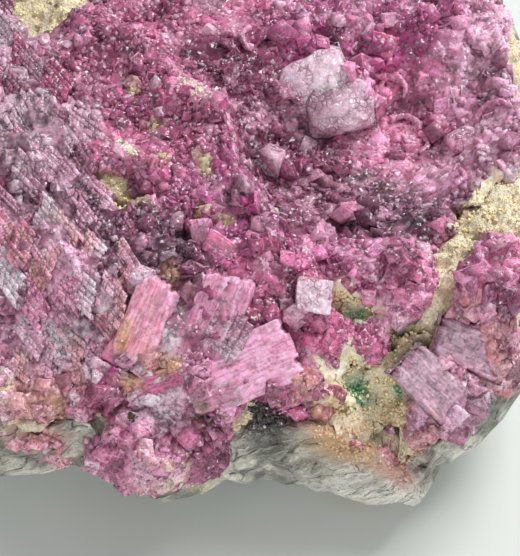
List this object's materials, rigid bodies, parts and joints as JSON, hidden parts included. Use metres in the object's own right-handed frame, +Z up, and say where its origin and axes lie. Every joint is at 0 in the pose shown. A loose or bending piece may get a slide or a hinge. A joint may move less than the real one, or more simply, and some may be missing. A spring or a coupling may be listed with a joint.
{
  "type": "cobaltoan dolomite cluster",
  "caption": "Mineral cluster: a pink to magenta druse of cobalt-bearing dolomite rhombs and cleaved blades on buff matrix and grey foliated host rock, with a flat underside to stand on.",
  "frame": {"origin": "centre of the bounding box in plan, on the flat parting plane that the cluster rests on", "axes": "+Z up out of the resting plane towards the druse, +X along the front edge, from the western slab towards the eastern embayment, +Y from the front edge back past the bowl"},
  "size_m": [0.0674, 0.064, 0.0259],
  "materials": {
    "host_rock": "dull to faintly silky foliated grey rock, broken on every side",
    "buff_matrix": "earthy matt buff matrix with pits and iron stain",
    "druse": "translucent magenta to pale pink dolomite, vitreous to pearly on its cleavages"
  },
  "bodies": {
    "root": {"host_rock": "host_rock", "buff_matrix": "buff_matrix", "druse_crust": "druse", "druse_east": "druse"}
  },
  "joints": []
}
